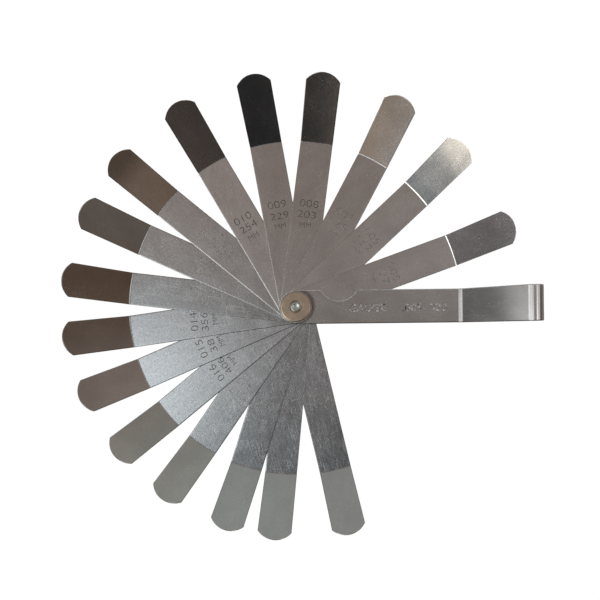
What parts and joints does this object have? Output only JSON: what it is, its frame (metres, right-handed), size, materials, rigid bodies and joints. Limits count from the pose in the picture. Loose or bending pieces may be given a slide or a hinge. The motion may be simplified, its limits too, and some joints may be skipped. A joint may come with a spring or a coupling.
{
  "type": "feeler gauge",
  "caption": "Feeler gauge with thin bent steel leaves that fan out from a folded strip handle on a pivot screw clamped by a round nut.",
  "frame": {"origin": "on the pivot axis, in the flat underside of the screw head, the face the gauge stands on", "axes": "+X along the handle away from the pivot, +Z from the screw head towards the lock nut and the raised leaf tips, +Y completes a right-handed frame"},
  "size_m": [0.1763, 0.1715, 0.0293],
  "materials": {
    "handle_steel": "rolled spring steel strip, satin, warm grey",
    "leaf_steel": "ground and brushed spring steel, fine scratches, stamped marks",
    "screw_steel": "bright plated steel",
    "nut_brass": "dull turned brass, tarnished"
  },
  "bodies": {
    "handle": {"handle_strip": "handle_steel", "pivot_screw": "screw_steel"},
    "leaf_005": {"leaf_005": "leaf_steel"},
    "leaf_006": {"leaf_006": "leaf_steel"},
    "leaf_007": {"leaf_007": "leaf_steel"},
    "leaf_008": {"leaf_008": "leaf_steel"},
    "leaf_009": {"leaf_009": "leaf_steel"},
    "leaf_010": {"leaf_010": "leaf_steel"},
    "leaf_011": {"leaf_011": "leaf_steel"},
    "leaf_012": {"leaf_012": "leaf_steel"},
    "leaf_013": {"leaf_013": "leaf_steel"},
    "leaf_014": {"leaf_014": "leaf_steel"},
    "leaf_015": {"leaf_015": "leaf_steel"},
    "leaf_016": {"leaf_016": "leaf_steel"},
    "leaf_017": {"leaf_017": "leaf_steel"},
    "leaf_018": {"leaf_018": "leaf_steel"},
    "leaf_019": {"leaf_019": "leaf_steel"},
    "leaf_020": {"leaf_020": "leaf_steel"},
    "nut_washer": {"nut_washer": "screw_steel"},
    "lock_nut": {"lock_nut": "nut_brass"}
  },
  "joints": [
    {"name": "leaf_005_swing", "type": "hinge", "parent": "handle", "child": "leaf_005", "pos_m": [0, 0, 0.005], "axis": [0, 0, 1], "range_deg": [-19.5, 340.5]},
    {"name": "leaf_006_swing", "type": "hinge", "parent": "handle", "child": "leaf_006", "pos_m": [0, 0, 0.005], "axis": [0, 0, 1], "range_deg": [-42.6, 317.4]},
    {"name": "leaf_007_swing", "type": "hinge", "parent": "handle", "child": "leaf_007", "pos_m": [0, 0, 0.005], "axis": [0, 0, 1], "range_deg": [-61.7, 298.3]},
    {"name": "leaf_008_swing", "type": "hinge", "parent": "handle", "child": "leaf_008", "pos_m": [0, 0, 0.005], "axis": [0, 0, 1], "range_deg": [-82.2, 277.8]},
    {"name": "leaf_009_swing", "type": "hinge", "parent": "handle", "child": "leaf_009", "pos_m": [0, 0, 0.005], "axis": [0, 0, 1], "range_deg": [-99.9, 260.1]},
    {"name": "leaf_010_swing", "type": "hinge", "parent": "handle", "child": "leaf_010", "pos_m": [0, 0, 0.005], "axis": [0, 0, 1], "range_deg": [-120, 240]},
    {"name": "leaf_011_swing", "type": "hinge", "parent": "handle", "child": "leaf_011", "pos_m": [0, 0, 0.005], "axis": [0, 0, 1], "range_deg": [-140.3, 219.7]},
    {"name": "leaf_012_swing", "type": "hinge", "parent": "handle", "child": "leaf_012", "pos_m": [0, 0, 0.005], "axis": [0, 0, 1], "range_deg": [-155.4, 204.6]},
    {"name": "leaf_013_swing", "type": "hinge", "parent": "handle", "child": "leaf_013", "pos_m": [0, 0, 0.005], "axis": [0, 0, 1], "range_deg": [-172.9, 187.1]},
    {"name": "leaf_014_swing", "type": "hinge", "parent": "handle", "child": "leaf_014", "pos_m": [0, 0, 0.005], "axis": [0, 0, 1], "range_deg": [-187.8, 172.2]},
    {"name": "leaf_015_swing", "type": "hinge", "parent": "handle", "child": "leaf_015", "pos_m": [0, 0, 0.005], "axis": [0, 0, 1], "range_deg": [-202.9, 157.1]},
    {"name": "leaf_016_swing", "type": "hinge", "parent": "handle", "child": "leaf_016", "pos_m": [0, 0, 0.005], "axis": [0, 0, 1], "range_deg": [-219.2, 140.8]},
    {"name": "leaf_017_swing", "type": "hinge", "parent": "handle", "child": "leaf_017", "pos_m": [0, 0, 0.005], "axis": [0, 0, 1], "range_deg": [-235.1, 124.9]},
    {"name": "leaf_018_swing", "type": "hinge", "parent": "handle", "child": "leaf_018", "pos_m": [0, 0, 0.005], "axis": [0, 0, 1], "range_deg": [-252, 108]},
    {"name": "leaf_019_swing", "type": "hinge", "parent": "handle", "child": "leaf_019", "pos_m": [0, 0, 0.005], "axis": [0, 0, 1], "range_deg": [-264.2, 95.8]},
    {"name": "leaf_020_swing", "type": "hinge", "parent": "handle", "child": "leaf_020", "pos_m": [0, 0, 0.005], "axis": [0, 0, 1], "range_deg": [-283, 77]},
    {"name": "washer_lift", "type": "slide", "parent": "handle", "child": "nut_washer", "axis": [0, 0, 1], "range_m": [0, 0.0007]},
    {"name": "nut_turn", "type": "hinge", "parent": "nut_washer", "child": "lock_nut", "pos_m": [0, 0, 0.01], "axis": [0, 0, 1], "range_deg": [0, 360]}
  ],
  "couplings": [
    {"joint": "nut_turn", "follows": "washer_lift", "rad_per_m": 8975.9}
  ]
}
